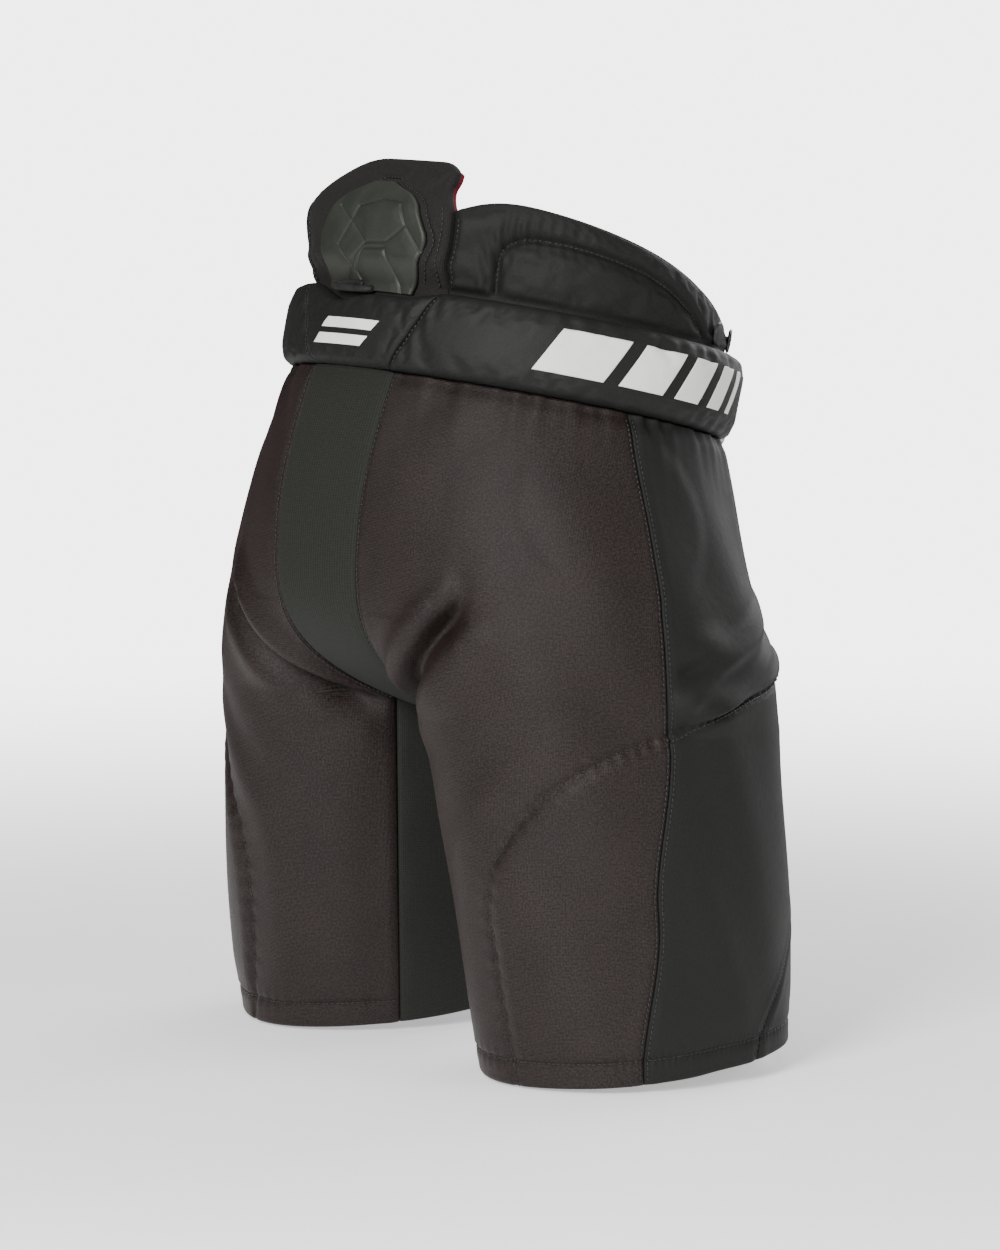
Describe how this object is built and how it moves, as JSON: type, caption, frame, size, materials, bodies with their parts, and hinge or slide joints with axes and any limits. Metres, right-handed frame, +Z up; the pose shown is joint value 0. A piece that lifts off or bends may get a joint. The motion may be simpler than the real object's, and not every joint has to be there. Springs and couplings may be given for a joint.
{
  "type": "ice hockey pants",
  "caption": "Padded ice hockey shorts with a quilted belt, a raised spine pad, kidney pads and guards in pockets; the legs swing at the hips and the spine pad leans.",
  "frame": {"origin": "middle of the belt ring, where the garment is held at the wearer's waist", "axes": "+Z up along the wearer, the wearer faces -Y and the wearer's left is +X"},
  "size_m": [0.4632, 0.3213, 0.6084],
  "materials": {
    "weave": "coarse brown-black polyester weave with a dull sheen",
    "nylon": "smooth dark grey nylon",
    "belt_nylon": "puffy dark grey nylon over foam",
    "knit": "green-grey stretch knit",
    "mesh_liner": "matt black mesh lining",
    "red_liner": "red brushed lining",
    "cap_rubber": "moulded matt green-grey rubber with a web of ribs",
    "guard_plastic": "moulded matt black plastic",
    "foam": "light grey closed-cell foam",
    "webbing": "woven black webbing",
    "metal": "satin steel",
    "lace": "braided black cord"
  },
  "bodies": {
    "seat": {"seat_panel_left": "weave", "seat_panel_right": "weave", "hip_fold_left": "weave", "hip_fold_right": "weave", "hip_panel_left": "nylon", "hip_panel_right": "nylon", "front_panel_left": "nylon", "front_panel_right": "nylon", "kidney_pad_left": "nylon", "kidney_pad_right": "nylon", "waist_belt_left": "belt_nylon", "waist_belt_right": "belt_nylon", "waist_belt_back": "belt_nylon", "crotch_gusset": "knit", "waist_liner": "mesh_liner", "hip_guard_left": "guard_plastic", "hip_guard_right": "guard_plastic", "tailbone_guard": "guard_plastic", "brace_button_outer_left": "metal", "brace_button_outer_right": "metal", "brace_button_inner_left": "metal", "brace_button_inner_right": "metal", "buckle_frame": "metal", "buckle_pin": "metal", "eyelet_upper_left": "metal", "eyelet_upper_right": "metal", "eyelet_middle_left": "metal", "eyelet_middle_right": "metal", "eyelet_lower_left": "metal", "eyelet_lower_right": "metal", "belt_strap": "webbing", "rear_lace": "lace"},
    "spine": {"spine_pad": "weave", "spine_liner": "red_liner", "spine_cap": "cap_rubber"},
    "leg_left": {"thigh_back_panel_left": "weave", "thigh_side_panel_left": "nylon", "thigh_front_panel_left": "nylon", "inner_thigh_panel_left": "knit", "hem_band_left": "nylon", "thigh_guard_left": "guard_plastic", "thigh_foam_left": "foam"},
    "leg_right": {"thigh_back_panel_right": "weave", "thigh_side_panel_right": "nylon", "thigh_front_panel_right": "nylon", "inner_thigh_panel_right": "knit", "hem_band_right": "nylon", "thigh_guard_right": "guard_plastic", "thigh_foam_right": "foam"},
    "fly_tongue": {"fly_tongue": "knit"},
    "buckle_lever": {"buckle_lever": "metal"}
  },
  "joints": [
    {"name": "hip_left", "type": "hinge", "parent": "seat", "child": "leg_left", "pos_m": [0, 0.015, -0.24], "axis": [-1, 0, 0], "range_deg": [-8, 25], "stiffness_Nm_per_rad": 2, "deforming": ["hip_fold_left"]},
    {"name": "hip_right", "type": "hinge", "parent": "seat", "child": "leg_right", "pos_m": [0, 0.015, -0.24], "axis": [-1, 0, 0], "range_deg": [-8, 25], "stiffness_Nm_per_rad": 2, "deforming": ["hip_fold_right"]},
    {"name": "spine_flex", "type": "hinge", "parent": "seat", "child": "spine", "pos_m": [0, 0.1168, 0.0404], "axis": [1, 0, 0], "range_deg": [-3, 18], "stiffness_Nm_per_rad": 3},
    {"name": "fly_open", "type": "hinge", "parent": "seat", "child": "fly_tongue", "pos_m": [0, -0.1312, -0.1402], "axis": [-1, 0, 0], "range_deg": [0, 25], "stiffness_Nm_per_rad": 0.5},
    {"name": "buckle_open", "type": "hinge", "parent": "seat", "child": "buckle_lever", "pos_m": [-0.0635, -0.13527, -0.03248], "axis": [0, 0.2334, -0.9724], "range_deg": [0, 80]}
  ]
}
